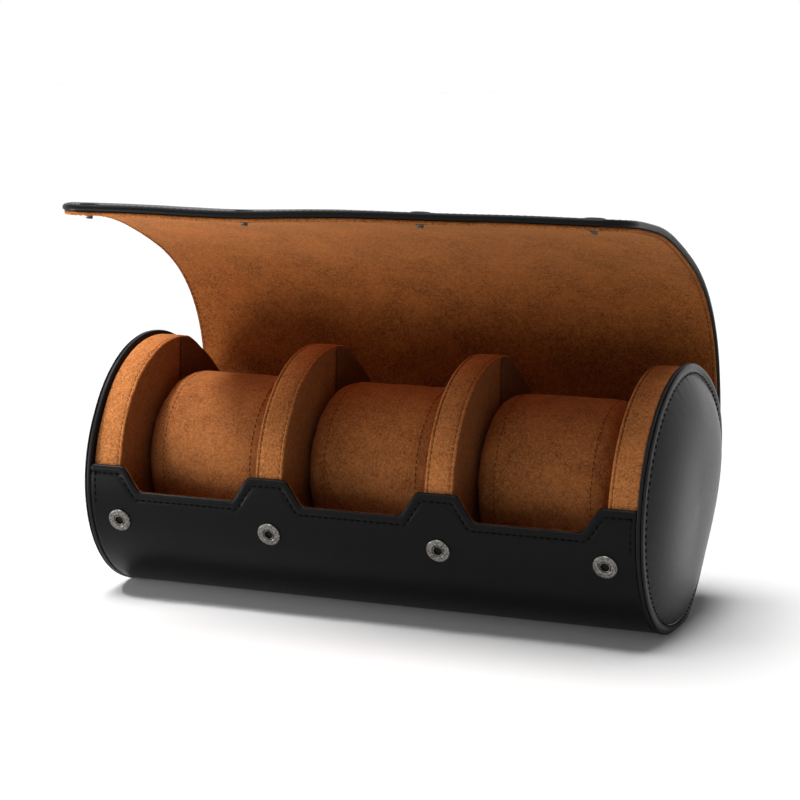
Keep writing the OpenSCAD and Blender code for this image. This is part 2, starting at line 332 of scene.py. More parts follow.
def relief(tree, height, skin, strength, distance):
    """Raises a material's surface by a height."""
    raised = node(tree, "ShaderNodeBump", Strength=strength, Distance=distance)
    link(tree, height, raised.inputs["Height"])
    link(tree, raised.outputs["Normal"], skin.inputs["Normal"])


def leather_grain_group():
    """Fine pebbled leather: a height for Bump and a mask of the grain's hollows."""
    group, inside, outside = shader_group(
        "leather_grain",
        [("Float", "Cell size mm", 0.9), ("Float", "Crease depth", 0.5)],
        [("Float", "Height"), ("Float", "Hollows")],
    )
    warp = texture(group, "Noise", Scale=420.0, Detail=2.0)
    spread = node(group, "ShaderNodeVectorMath", operation="MULTIPLY_ADD")
    spread.inputs[1].default_value = (0.0006, 0.0006, 0.0006)
    link(group, warp.outputs["Color"], spread.inputs[0])
    link(group, node(group, "ShaderNodeTexCoord").outputs["Object"], spread.inputs[2])
    cells = node(group, "ShaderNodeTexVoronoi", feature="DISTANCE_TO_EDGE")
    link(group, spread.outputs[0], cells.inputs["Vector"])
    link(group, per_metre(group, inside.outputs["Cell size mm"]), cells.inputs["Scale"])
    pebbles = ramp(group, cells.outputs["Distance"], [(0.0, 0.0), (0.16, 0.75), (0.45, 1.0)])
    fine = texture(group, "Noise", Scale=3200.0, Detail=3.0, Roughness=0.6)
    creases = texture(group, "Noise", Scale=120.0, Detail=4.0, Roughness=0.55, Distortion=1.2)
    soft = math_node(group, "MULTIPLY", creases.outputs["Fac"], inside.outputs["Crease depth"])
    height = math_node(group, "MULTIPLY_ADD", pebbles, 0.6, soft)
    height = math_node(group, "MULTIPLY_ADD", fine.outputs["Fac"], 0.25, height)
    link(group, height, outside.inputs["Height"])
    link(group, math_node(group, "SUBTRACT", 1.0, pebbles, clamp=True), outside.inputs["Hollows"])
    return group


def nap_group():
    """Brushed suede: blotches where the nap lies another way, fine fibres, and a height for Bump."""
    group, inside, outside = shader_group(
        "suede_nap",
        [("Float", "Blotch size mm", 14.0), ("Float", "Fibre size mm", 0.5)],
        [("Float", "Blotches"), ("Float", "Fibres"), ("Float", "Height")],
    )
    large = texture(group, "Noise", Detail=5.0, Roughness=0.62, Distortion=0.6)
    link(group, per_metre(group, inside.outputs["Blotch size mm"]), large.inputs["Scale"])
    fine = texture(group, "Noise", Detail=4.0, Roughness=0.75)
    link(group, per_metre(group, inside.outputs["Fibre size mm"]), fine.inputs["Scale"])
    specks = texture(group, "Noise", Scale=1300.0, Detail=2.0, Roughness=0.6)
    tufts = texture(group, "Noise", Scale=480.0, Detail=3.0, Roughness=0.6)
    blotches = ramp(group, large.outputs["Fac"], [(0.36, 0.0), (0.64, 1.0)])
    mixed = math_node(group, "MULTIPLY", fine.outputs["Fac"], 0.25)
    mixed = math_node(group, "MULTIPLY_ADD", tufts.outputs["Fac"], 0.22, mixed)
    mixed = math_node(group, "MULTIPLY_ADD", specks.outputs["Fac"], 0.53, mixed)
    fibres = ramp(group, mixed, [(0.38, 0.0), (0.62, 1.0)])
    link(group, blotches, outside.inputs["Blotches"])
    link(group, fibres, outside.inputs["Fibres"])
    link(group, math_node(group, "MULTIPLY_ADD", blotches, 0.25, fibres), outside.inputs["Height"])
    return group


GRAIN = leather_grain_group()
NAP = nap_group()


# ---------------------------------------------------------------- materials
def new_material(name):
    """A material with its Principled BSDF, and the tree it is in."""
    material = bpy.data.materials.new(name)
    material.use_nodes = True
    return material, material.node_tree, material.node_tree.nodes["Principled BSDF"]


def colour_between(tree, mask, first, second):
    """A colour that goes from first to second as mask goes from 0 to 1."""
    mix = tree.nodes.new("ShaderNodeMix")
    mix.data_type = "RGBA"
    for socket, value in ((mix.inputs[6], first), (mix.inputs[7], second)):
        if isinstance(value, tuple):
            socket.default_value = (*value, 1)
        else:
            link(tree, value, socket)
    link(tree, mask, mix.inputs[0])
    return mix.outputs[2]


def leather(name, dark, light, roughness, cell_mm, bump, shine):
    """Smooth black leather with a fine grain."""
    material, tree, skin = new_material(name)
    grain = node(tree, "ShaderNodeGroup", node_tree=GRAIN)
    grain.inputs["Cell size mm"].default_value = cell_mm
    link(tree, colour_between(tree, grain.outputs["Hollows"], light, dark), skin.inputs["Base Color"])
    rough = math_node(tree, "MULTIPLY_ADD", grain.outputs["Hollows"], 0.12, roughness)
    link(tree, rough, skin.inputs["Roughness"])
    relief(tree, grain.outputs["Height"], skin, bump, 0.00012)
    skin.inputs["Specular IOR Level"].default_value = shine
    return material


def suede(name, dark, middle, light, blotch_mm=14.0, bump=0.5):
    """Tan microsuede: cloudy nap, fine fibres and a soft sheen."""
    material, tree, skin = new_material(name)
    nap = node(tree, "ShaderNodeGroup", node_tree=NAP)
    nap.inputs["Blotch size mm"].default_value = blotch_mm
    cloudy = colour_between(tree, nap.outputs["Blotches"], dark, middle)
    speckled = colour_between(tree, math_node(tree, "MULTIPLY", nap.outputs["Fibres"], 0.85), cloudy, light)
    link(tree, speckled, skin.inputs["Base Color"])
    set_inputs(skin, {
        "Roughness": 0.95, "Specular IOR Level": 0.15,
        "Sheen Weight": 0.2, "Sheen Roughness": 0.5, "Sheen Tint": (1.0, 0.57, 0.27, 1),
    })
    relief(tree, nap.outputs["Height"], skin, bump, 0.0002)
    return material


def thread(name, dark, light):
    """Waxed thread: a twist along each stitch."""
    material, tree, skin = new_material(name)
    twist = texture(tree, "Wave", Scale=900.0, Distortion=2.0, bands_direction="DIAGONAL")
    link(tree, colour_between(tree, twist.outputs["Fac"], dark, light), skin.inputs["Base Color"])
    set_inputs(skin, {"Roughness": 0.7, "Specular IOR Level": 0.06})
    relief(tree, twist.outputs["Fac"], skin, 0.4, 0.0001)
    return material


def metal(name, bright, tarnish, roughness):
    """Plated metal with tarnish in soft patches."""
    material, tree, skin = new_material(name)
    patches = texture(tree, "Noise", Scale=1500.0, Detail=3.0, Roughness=0.6)
    worn = ramp(tree, patches.outputs["Fac"], [(0.4, 0.0), (0.7, 1.0)])
    link(tree, colour_between(tree, worn, bright, tarnish), skin.inputs["Base Color"])
    link(tree, math_node(tree, "MULTIPLY_ADD", worn, 0.2, roughness), skin.inputs["Roughness"])
    skin.inputs["Metallic"].default_value = 1.0
    return material


BLACK_LEATHER = leather(
    "black_leather", (0.0016, 0.0016, 0.0018), (0.0038, 0.0039, 0.0042), 0.28, 0.8, 0.3, 0.1
)
CAP_LEATHER = leather("cap_leather", (0.0025, 0.0025, 0.0027), (0.0055, 0.0056, 0.0059), 0.27, 0.8, 0.2, 0.18)
EDGE_LEATHER = leather("edge_leather", (0.003, 0.003, 0.0033), (0.0065, 0.0066, 0.007), 0.42, 0.6, 0.3, 0.15)
LID_SUEDE = suede("lid_suede", (0.135, 0.029, 0.004), (0.32, 0.083, 0.0135), (0.58, 0.2, 0.046), 15.0)
BAND_SUEDE = suede("band_suede", (0.27, 0.074, 0.014), (0.45, 0.141, 0.033), (0.76, 0.31, 0.1), 9.0, 0.8)
# Divider sides: a darker copy of the band suede, painted shade where the sides face along the case
SIDE_SHADE_SUEDE = suede("side_shade_suede", (0.14, 0.035, 0.006), (0.25, 0.072, 0.015), (0.42, 0.15, 0.04), 15.0)
# The sides' halves behind the welt: a still darker copy of the band suede, deeper painted shade
REAR_SIDE_SHADE_SUEDE = suede(
    "rear_side_shade_suede", (0.06, 0.014, 0.003), (0.11, 0.03, 0.007), (0.19, 0.06, 0.016), 15.0
)
WELT_SUEDE = suede("welt_suede", (0.03, 0.008, 0.002), (0.06, 0.017, 0.004), (0.12, 0.04, 0.012), 6.0)
CUSHION_SUEDE = suede("cushion_suede", (0.22, 0.06, 0.012), (0.42, 0.133, 0.031), (0.66, 0.26, 0.085), 12.0)
CASE_SUEDE = suede("case_suede", (0.3, 0.085, 0.02), (0.42, 0.135, 0.036), (0.55, 0.22, 0.075), 12.0)
BLACK_THREAD = thread("black_thread", (0.001, 0.001, 0.001), (0.004, 0.004, 0.004))
BROWN_THREAD = thread("brown_thread", (0.15, 0.045, 0.012), (0.3, 0.105, 0.03))
SNAP_METAL = metal("snap_metal", (0.225, 0.215, 0.2), (0.02, 0.018, 0.016), 0.26)
STUD_METAL = metal("stud_metal", (0.16, 0.15, 0.14), (0.06, 0.055, 0.05), 0.35)
# Darker metal: painted shade down in the sockets' mouths; it also finishes the hidden socket backs
SOCKET_SHADE_METAL = metal("socket_shade_metal", (0.06, 0.055, 0.05), (0.02, 0.02, 0.02), 0.5)


# ---------------------------------------------------------------- building meshes
def new_piece(name, points, faces, material):
    """A mesh object at the origin from points in millimetres, its faces turned outwards and smooth."""
    mesh = bpy.data.meshes.new(name)
    mesh.from_pydata([tuple(float(c) * MM for c in p) for p in points], [], faces)
    mesh.update()
    mesh.validate()
    mesh.materials.append(material)
    made = new_object(name, mesh)
    smooth(made)
    turn_outwards(made)
    return made


def turn_outwards(piece, weld=False):
    """Turns a closed mesh's faces outwards, after merging the points that meet where weld is set."""
    work = bmesh.new()
    work.from_mesh(piece.data)
    if weld:
        bmesh.ops.remove_doubles(work, verts=work.verts, dist=1e-7)
        bmesh.ops.dissolve_degenerate(work, edges=work.edges, dist=1e-8)
    bmesh.ops.recalc_face_normals(work, faces=work.faces)
    work.to_mesh(piece.data)
    work.free()
    piece.data.update()


def smooth(piece):
    """Shades all of a piece's faces smooth."""
    piece.data.polygons.foreach_set("use_smooth", [True] * len(piece.data.polygons))


def settled(points):
    """Points of the case in millimetres, moved to where its soft ends have settled."""
    moved = np.array(points, float)
    x, rise = moved[..., 0], moved[..., 2] - AXIS_Z
    height, behind = rise / AXIS_Z, np.maximum(moved[..., 1], 0)
    shift, lean, start, run = RIGHT_SETTLE
    size, waves, phase, warp_run = RIGHT_WARP
    warp = size * np.sin(waves * np.arctan2(rise, behind + 1e-6) + math.radians(phase))
    warp = warp * eased(behind / warp_run) * np.minimum((rise**2 + behind**2) / CASE_R**2, 1)
    right = (shift + lean * height + warp) * eased((x - start) / run)
    shift, lean, start, run = LEFT_SETTLE
    left = np.minimum(shift + lean * height, LEFT_SETTLE_LIMIT) * eased((-x - start) / run)
    moved[..., 0] = x + right + left
    return moved


def sweep(name, rings, material):
    """A closed skin over equal rings of points, its two ends closed flat with sharp edges."""
    rings = [np.asarray(ring, float) for ring in rings]
    count = len(rings[0])
    points = [p for ring in rings for p in ring]
    faces = []
    for i in range(len(rings) - 1):
        for j in range(count):
            k = (j + 1) % count
            faces.append((i * count + j, i * count + k, (i + 1) * count + k, (i + 1) * count + j))
    faces.append(tuple(range(count)))
    faces.append(tuple(range((len(rings) - 1) * count, len(rings) * count)))
    piece = new_piece(name, points, faces, material)
    piece.data.polygons[-1].use_smooth = False
    piece.data.polygons[-2].use_smooth = False
    return piece


def lathe(name, profile, place, axis, material, steps=48, shape=None):
    """A profile of (distance along axis, radius) turned round axis at place. shape changes each point."""
    axis = Vector(axis).normalized()
    first_way = axis.orthogonal().normalized()
    second_way = axis.cross(first_way)
    place = Vector(place)
    count = len(profile)
    points, faces = [], []
    for i in range(steps):
        angle = 2 * math.pi * i / steps
        out = first_way * math.cos(angle) + second_way * math.sin(angle)
        points += [place + axis * along + out * radius for along, radius in profile]
        k = (i + 1) % steps
        for j in range(count - 1):
            faces.append((i * count + j, i * count + j + 1, k * count + j + 1, k * count + j))
    if shape:
        points = [shape(p) for p in points]
    piece = new_piece(name, points, faces, material)
    turn_outwards(piece, weld=True)
    smooth(piece)
    return piece


def stitch_tree():
    """Geometry nodes that lay evenly spaced stitches along every line of a mesh."""
    tree = bpy.data.node_groups.new("stitch_row", "GeometryNodeTree")
    face = tree.interface
    face.new_socket("Geometry", in_out="INPUT", socket_type="NodeSocketGeometry")
    for label in ("Pitch", "Length", "Thread radius"):
        face.new_socket(label, in_out="INPUT", socket_type="NodeSocketFloat")
    face.new_socket("Material", in_out="INPUT", socket_type="NodeSocketMaterial")
    face.new_socket("Geometry", in_out="OUTPUT", socket_type="NodeSocketGeometry")
    inside = tree.nodes.new("NodeGroupInput")
    outside = tree.nodes.new("NodeGroupOutput")
    curve = tree.nodes.new("GeometryNodeMeshToCurve")
    spaced = node(tree, "GeometryNodeResampleCurve", mode="LENGTH")
    tangent = tree.nodes.new("GeometryNodeInputTangent")
    turned = node(tree, "FunctionNodeAlignRotationToVector", axis="X")
    bead = node(tree, "GeometryNodeMeshUVSphere", Segments=7, Rings=5, Radius=1.0)
    size = tree.nodes.new("ShaderNodeCombineXYZ")
    half = node(tree, "ShaderNodeMath", operation="MULTIPLY")
    half.inputs[1].default_value = 0.5
    placed = tree.nodes.new("GeometryNodeInstanceOnPoints")
    real = tree.nodes.new("GeometryNodeRealizeInstances")
    shaded = tree.nodes.new("GeometryNodeSetShadeSmooth")
    painted = tree.nodes.new("GeometryNodeSetMaterial")
    for source, output, target, label in (
        (inside, "Geometry", curve, "Mesh"),
        (curve, "Curve", spaced, "Curve"),
        (inside, "Pitch", spaced, "Length"),
        (tangent, "Tangent", turned, "Vector"),
        (inside, "Length", half, 0),
        (half, 0, size, "X"),
        (inside, "Thread radius", size, "Y"),
        (inside, "Thread radius", size, "Z"),
        (spaced, "Curve", placed, "Points"),
        (bead, "Mesh", placed, "Instance"),
        (turned, "Rotation", placed, "Rotation"),
        (size, "Vector", placed, "Scale"),
        (placed, "Instances", real, "Geometry"),
        (real, "Geometry", shaded, "Geometry"),
        (shaded, "Geometry", painted, "Geometry"),
        (inside, "Material", painted, "Material"),
        (painted, "Geometry", outside, "Geometry"),
    ):
        link(tree, source.outputs[output], target.inputs[label])
    return tree


STITCH_TREE = stitch_tree()


def stitches(name, lines, material, pitch=STITCH_PITCH, length=STITCH_LENGTH, radius=STITCH_R):
    """Stitches along each line, a list of points in millimetres, as one plain mesh."""
    points, edges = [], []
    for line in lines:
        first = len(points)
        points += [tuple(float(c) * MM for c in p) for p in line]
        edges += [(first + i, first + i + 1) for i in range(len(line) - 1)]
    mesh = bpy.data.meshes.new(name)
    mesh.from_pydata(points, edges, [])
    made = new_object(name, mesh)
    row = made.modifiers.new("stitches", "NODES")
    row.node_group = STITCH_TREE
    sizes = {"Pitch": pitch * MM, "Length": length * MM, "Thread radius": radius * MM, "Material": material}
    for item in STITCH_TREE.interface.items_tree:
        if item.in_out == "INPUT" and item.name in sizes:
            row[item.identifier] = sizes[item.name]
    bpy.context.view_layer.update()
    finished = bpy.data.meshes.new_from_object(evaluated(made))
    made.modifiers.remove(row)
    made.data = finished
    return made


# ---------------------------------------------------------------- the case's wall
def edge_knots():
    """The front edge's corners: (place along the case, height over the middle, measured round the wall)."""
    top = PITCH / 2 - TAB_W / 2
    bottom = top - SLOPE_RUN
    knots = [(-HALF - 5, TAB_Z)]
    for x in CUSHION_X:
        knots += [(x - top, TAB_Z), (x - bottom, NOTCH_Z), (x + bottom, NOTCH_Z), (x + top, TAB_Z)]
    knots.append((HALF + 5, TAB_Z))
    return [np.array((x, CASE_R * math.asin((z - AXIS_Z) / CASE_R))) for x, z in knots]


def inset_line(knots, inset):
    """A broken line moved down by inset, its corners mitred."""
    normals = []
    for a, b in zip(knots, knots[1:]):
        run = (b - a) / np.linalg.norm(b - a)
        normals.append(np.array((run[1], -run[0])))
    moved = [knots[0] + normals[0] * inset]
    for point, n, m in zip(knots[1:-1], normals, normals[1:]):
        moved.append(point + (n + m) / (1 + n @ m) * inset)
    moved.append(knots[-1] + normals[-1] * inset)
    return moved


def eased_line(knots, x, softness=EDGE_SOFTNESS):
    """The height of a broken line at x, its corners eased."""
    xs, qs = [k[0] for k in knots], [k[1] for k in knots]
    return np.mean([np.interp(x + d, xs, qs) for d in np.linspace(-softness, softness, 9)], axis=0)


def distance_to_line(knots, x, q):
    """How far each point (x, q) is from a broken line."""
    best = np.full(np.shape(q), 1e9)
    for a, b in zip(knots, knots[1:]):
        run = b - a
        t = np.clip(((x - a[0]) * run[0] + (q - a[1]) * run[1]) / (run @ run), 0, 1)
        best = np.minimum(best, np.hypot(x - a[0] - t * run[0], q - a[1] - t * run[1]))
    return best


def round_case(x, radius, angle):
    """Points at a radius and at angles from +Y about the case's middle line."""
    return np.stack([x + 0 * angle, radius * np.cos(angle), AXIS_Z + radius * np.sin(angle)], axis=-1)


def wall_point(x, q, radius):
    """A point on the wall: q is measured round the front from the middle's height, positive upwards."""
    angle = q / CASE_R
    z = AXIS_Z + radius * np.sin(angle)
    return np.stack([x + 0 * q, -radius * np.cos(angle), z], axis=-1)


def on_floor(points, level):
    """Keeps points from going below level, with a soft turn."""
    low = np.clip((level - points[..., 2]) / FLOOR_SOFTNESS, -40, 40)
    points[..., 2] = points[..., 2] + FLOOR_SOFTNESS * np.log1p(np.exp(low))
    return points


KNOTS = edge_knots()
BACK_Q = -CASE_R * (math.pi - math.asin((AXIS_Z - SPINE_LOW_Z) / CASE_R))


def wall_skin(name, radius, thickness, drop, emboss, material):
    """One layer of the case's wall, from under the fold at the back to the notched front edge."""
    knots = inset_line(KNOTS, drop)
    rings = []
    lip = thickness / 2
    for x in np.linspace(-HALF, HALF, 181):
        edge = float(eased_line(knots, x))
        near = np.concatenate([np.arange(lip, 7, 0.45), [7.5, 8.5, 10]])
        far = np.linspace(12, edge - BACK_Q, 64)
        q = edge - np.concatenate([near, far])
        lift = emboss(distance_to_line(knots, x, q))
        outer = on_floor(wall_point(x, q, radius + lift), CASE_R - radius)
        inner = on_floor(wall_point(x, q, radius - thickness), CASE_R - radius + thickness)
        turn = np.linspace(0, math.pi, 7)[1:-1]
        rim = wall_point(x, edge - lip + lip * np.sin(turn), radius - lip + lip * np.cos(turn))
        rings.append(settled(np.concatenate([outer[::-1], rim, inner])))
    return sweep(name, rings, material)


def edge_relief(distance):
    """The cover's rolled edge, pulled in along its stitches."""
    roll = EDGE_ROLL_H * bump_at(distance, EDGE_ROLL_INSET, 1.1)
    return roll - EDGE_SEAM_DEPTH * bump_at(distance, EDGE_STITCH_INSET, 0.55)


def case_wall():
    cover = wall_skin("case_cover_leather", CASE_R, COVER_T, 0.0, edge_relief, BLACK_LEATHER)
    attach(cover, "case")
    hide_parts("case_cover", "case_board")
    lining = wall_skin("case_lining_suede", LINING_R, LINING_T, LINING_STEP, lambda d: 0 * d, CASE_SUEDE)
    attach(lining, "case")
    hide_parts("case_lining")
    knots = inset_line(KNOTS, EDGE_STITCH_INSET)
    x = np.linspace(-HALF + EDGE_STITCH_INSET, HALF - EDGE_STITCH_INSET, 420)
    row = wall_point(x, eased_line(knots, x), CASE_R - 0.15)
    ends = []
    for side in (-1, 1):
        top = float(eased_line(knots, side * (HALF - EDGE_STITCH_INSET)))
        down = np.linspace(top, top - END_STITCH_RUN, 20)
        ends.append(wall_point(side * (HALF - END_STITCH_INSET), down, CASE_R + 0.1))
    thread_row = stitches("front_edge_stitches", [settled(line) for line in [row] + ends], BLACK_THREAD)
    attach(thread_row, "case")


# ---------------------------------------------------------------- the end caps
def end_cap(side, word):
    flange = CAP_BOARD_T + CAP_COVER_T
    groove = CAP_BOARD_T + 0.1
    band = [
        (0.0, 0.0), (0.0, CAP_R - 0.6), (0.12, CAP_R - 0.2), (0.35, CAP_R), (0.8, CAP_R + 0.06),
        (groove - 0.35, CAP_R), (groove - 0.1, CAP_R - 0.25), (groove, CAP_R - 0.8), (groove, 0.0),
    ]
    edge = lathe(
        f"{word}_cap_edge_binding", band, (side * CAP_X, 0, AXIS_Z), (side, 0, 0), EDGE_LEATHER, 180,
        lambda p: Vector(settled((p.x, p.y, max(p.z, 0.0)))),
    )
    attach(edge, "case")
    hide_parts(f"{word}_cap_edge", f"{word}_cap_board")

    pad_r = CAP_STITCH_R - 0.7
    dome = []
    for k in range(25):
        share = math.sin(math.pi / 2 * k / 24)
        dome.append((flange - 0.1 + DOME_H * (1 - share**DOME_POWER), pad_r * share))
    rim = [
        (flange - 0.5, CAP_STITCH_R - 0.55), (flange - 0.1, CAP_STITCH_R - 0.3),
        (flange + 0.12, CAP_STITCH_R), (flange + 0.05, CAP_STITCH_R + 0.35),
        (flange - 0.15, CAP_STITCH_R + 0.7), (flange + 0.16, CAP_STITCH_R + 1.4),
        (flange + 0.12, CAP_R - 1.2), (flange - 0.02, CAP_R - 0.55),
        (flange - 0.3, CAP_R - 0.12), (flange - 0.55, CAP_R - 0.05), (groove + 0.15, CAP_R - 0.3),
        (groove + 0.03, CAP_R - 0.8), (groove + 0.03, 0.0),
    ]

    def puckered(p):
        radius = math.hypot(p.y, p.z - AXIS_Z)
        angle = math.atan2(p.z - AXIS_Z, p.y)
        near = math.exp(-max(pad_r - radius, 0) / PUCKER_REACH) if radius < pad_r + 0.1 else 0.0
        waves = sum(math.sin(count * angle + phase) for count, phase in PUCKER_WAVES)
        sag = DOME_SAG * math.sin(2 * angle + 0.6) + DOME_LEAN * math.sin(angle)
        slack = sag * math.sin(math.pi * min(radius / pad_r, 1))
        far = abs(p.x) - CAP_X > groove + 0.1
        moved = p.x + side * (PUCKER_H * waves * near + slack) if far else p.x
        return Vector(settled((moved, p.y, max(p.z, 0.0))))

    cover = lathe(
        f"{word}_cap_leather", dome + rim, (side * CAP_X, 0, AXIS_Z), (side, 0, 0), CAP_LEATHER, 240, puckered
    )
    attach(cover, "case")
    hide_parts(f"{word}_cap_cover", f"{word}_cap_pad")

    ring = round_case(side * (CAP_X + flange + 0.1), CAP_STITCH_R, np.linspace(0, 2 * math.pi, 361))
    row = stitches(f"{word}_cap_stitches", [settled(ring)], BLACK_THREAD, pitch=2.7, length=1.7, radius=0.36)
    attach(row, "case")


# ---------------------------------------------------------------- the dividers
def outline_offset(angle):
    """How far the divider's outline stands outside its round at an angle."""
    return between(DIVIDER_OUTLINE, np.degrees(angle))


def divider_half(stitched):
    """Half a divider's section, from its middle out: the face, the rolled rim, the seam and the band."""
    half, r = DIVIDER_W / 2, DIVIDER_R
    face = [(half - 0.05, 0.0), (half - 0.02, r * 0.4), (half - 0.08, r * 0.75), (half - 0.06, r - 5)]
    roll = [
        (half - 0.12, r - 2.4), (half, r - 1.5), (half - 0.03, r - 0.9),
        (half - 0.22, r - 0.35), (half - 0.55, r - 0.06), (half - 0.9, r + 0.02),
    ]
    seam = half - BAND_STITCH_INSET
    groove = [(seam + 0.25, r - 0.05), (seam, r - 0.3), (seam - 0.3, r - 0.08)]
    crown = [(half - 2.6, r + 0.05), (half * 0.3, r + 0.12)]
    return face + roll + (groove if stitched else [(half - 1.6, r + 0.02)]) + crown


def divider(number):
    x = DIVIDER_X[number - 1]
    half = DIVIDER_W / 2
    rows = {1: (1,), 4: (-1,)}.get(number, (-1, 1))
    profile = divider_half(1 in rows) + [(-a, r) for a, r in reversed(divider_half(-1 in rows))]

    def outline(p):
        angle = math.atan2(p.z - AXIS_Z, p.y)
        share = 1 + float(outline_offset(angle)) / DIVIDER_R
        return Vector(settled((p.x, p.y * share, max(AXIS_Z + (p.z - AXIS_Z) * share, DIVIDER_FOOT))))

    pad = lathe(f"divider_{number}_suede", profile, (x, 0, AXIS_Z), (1, 0, 0), BAND_SUEDE, 240, outline)
    # Faces that point along the case take the darker copy of the band suede: painted shade on the divider's
    # sides
    paint_faces(pad, SIDE_SHADE_SUEDE, lambda centre, normal: abs(normal.x) > SIDEWAYS)
    # Side faces behind the welt take the still darker copy: deeper painted shade under the lid
    paint_faces(pad, REAR_SIDE_SHADE_SUEDE, lambda centre, normal: abs(normal.x) > SIDEWAYS and behind_welt(centre))
    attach(pad, "case")
    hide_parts(*[f"divider_{number}_{part}" for part in ("band", "faces", "core")])

    lines = []
    angles = np.radians(np.linspace(-14, 190, 260))
    for side in rows:
        radius = DIVIDER_R - BAND_THREAD_DEPTH + outline_offset(angles)
        lines.append(round_case(x + side * (half - BAND_STITCH_INSET), radius, angles))
        for step in (-WELT_SEAM_STEP, WELT_SEAM_STEP):
            lines.append(face_line(x + side * half, np.linspace(*WELT_SPAN, 40) - WELT_SEAM_SHORT, step))
        welt(number, x, side)
    lines = [settled(line) for line in lines]
    row = stitches(f"divider_{number}_stitches", lines, BROWN_THREAD, pitch=2.3, length=1.6, radius=0.2)
    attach(row, "case")


def behind_welt(centre):
    """Whether a point of a divider, in metres, lies behind the seam of its face."""
    y, z = centre.y / MM, centre.z / MM - AXIS_Z
    return y * math.sin(WELT_ANGLE) - z * math.cos(WELT_ANGLE) > 0


def face_line(x, radii, step):
    """Points up a divider's face beside its seam, step millimetres towards the back."""
    y = radii * math.cos(WELT_ANGLE) + step * math.sin(WELT_ANGLE)
    z = AXIS_Z + radii * math.sin(WELT_ANGLE) - step * math.cos(WELT_ANGLE)
    return np.stack([0 * y + x, y, z], axis=-1)


def welt(number, x, side):
    """The dark welt between the two pieces of suede on a divider's face."""
    turn = np.linspace(0, math.pi, 7)
    steps = np.concatenate([[-WELT_HALF_W, WELT_HALF_W], WELT_HALF_W * np.cos(turn)])
    rises = np.concatenate([[-0.5, -0.5], WELT_H * np.sin(turn)])
    rings = []
    for radius in np.linspace(*WELT_SPAN, 24):
        radii = np.array([radius])
        out = x + side * (DIVIDER_W / 2 + rises)
        rings.append(settled([face_line(place, radii, step)[0] for place, step in zip(out, steps)]))
    made = sweep(f"divider_{number}_welt_{'right' if side > 0 else 'left'}", rings, WELT_SUEDE)
    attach(made, "case")


def paint_faces(piece, material, chosen):
    """Gives the faces of piece that chosen(centre, normal) picks a second material."""
    piece.data.materials.append(material)
    index = len(piece.data.materials) - 1
    for face in piece.data.polygons:
        if chosen(face.center, face.normal):
            face.material_index = index


# ---------------------------------------------------------------- the cushions
def cushion(number):
    x = CUSHION_X[number - 1]
    start_r, start_half = CUSHION_R - CUSHION_CUT_SMALL[0], CUSHION_HALF - CUSHION_CUT_SMALL[1]
    shoulder = CUSHION_SHOULDER_R
    profile = [(start_half, 0.0)]
    for turn in np.linspace(0, math.pi / 2, 9):
        along = start_half - shoulder + shoulder * math.cos(turn)
        profile.append((along, start_r - shoulder + shoulder * math.sin(turn)))
    for step, rise in CUSHION_SEAM:
        profile.append((CUSHION_SEAM_X + step, start_r + rise))
    profile.append((start_half / 3, start_r + 0.2))
    profile += [(-a, r) for a, r in reversed(profile)]
    roll = lathe(f"cushion_{number}_suede", profile, (x, 0, CUSHION_Z), (1, 0, 0), CUSHION_SUEDE, 72)
    swell(roll, number)
    settle(roll, x)
    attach(roll, f"cushion_{number}")
    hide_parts(*[f"cushion_{number}_{part}" for part in ("sleeve", "ends", "foam")])
    seams = []
    for side in (-1, 1):
        ring = []
        for turn in np.linspace(0, 2 * math.pi, 181):
            y, z = CUSHION_R * math.cos(turn), CUSHION_Z + CUSHION_R * math.sin(turn)
            place = Vector((x + side * CUSHION_SEAM_X, y, z))
            _, touch, normal, _ = roll.closest_point_on_mesh(place * MM)
            ring.append((touch + normal * 0.05 * MM) / MM)
        seams.append(ring)
    row = stitches(f"cushion_{number}_stitches", seams, BROWN_THREAD, pitch=2.4, length=1.7, radius=0.22)
    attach(row, f"cushion_{number}")


def apply_modifiers(piece):
    """Turns a piece's modifiers into its mesh."""
    bpy.context.view_layer.update()
    finished = bpy.data.meshes.new_from_object(evaluated(piece))
    piece.modifiers.clear()
    piece.data = finished


def swell(piece, seed):
    """Stuffs a cushion: its skin is cut a little small, and pressure fills it until it creases."""
    skin = piece.modifiers.new("skin", "REMESH")
    skin.mode = "VOXEL"
    skin.voxel_size = SKIN_VOXEL * MM
    apply_modifiers(piece)
    start = np.array([v.co for v in piece.data.vertices])
    jitter = np.random.default_rng(seed).normal(0, SKIN_JITTER * MM, start.shape)
    piece.data.vertices.foreach_set("co", (start + jitter).ravel())
    cloth = piece.modifiers.new("cloth", "CLOTH")
    for label, value in CLOTH.items():
        setattr(cloth.settings, label, value)
    cloth.settings.effector_weights.gravity = 0.0
    cloth.collision_settings.use_collision = False
    scene = bpy.context.scene
    for step in range(1, SWELL_STEPS + 1):
        scene.frame_set(step)
    moved = np.array([v.co for v in evaluated(piece).to_mesh().vertices]) - start
    evaluated(piece).to_mesh_clear()
    piece.modifiers.clear()
    scene.frame_set(1)
    reach = np.linalg.norm(moved, axis=1, keepdims=True)
    moved = moved * np.minimum(1, SWELL_LIMIT * MM / np.maximum(reach, 1e-9))
    piece.data.vertices.foreach_set("co", (start + moved).ravel())
    piece.data.update()
    finer = piece.modifiers.new("finer", "SUBSURF")
    finer.levels = finer.render_levels = 1
    apply_modifiers(piece)


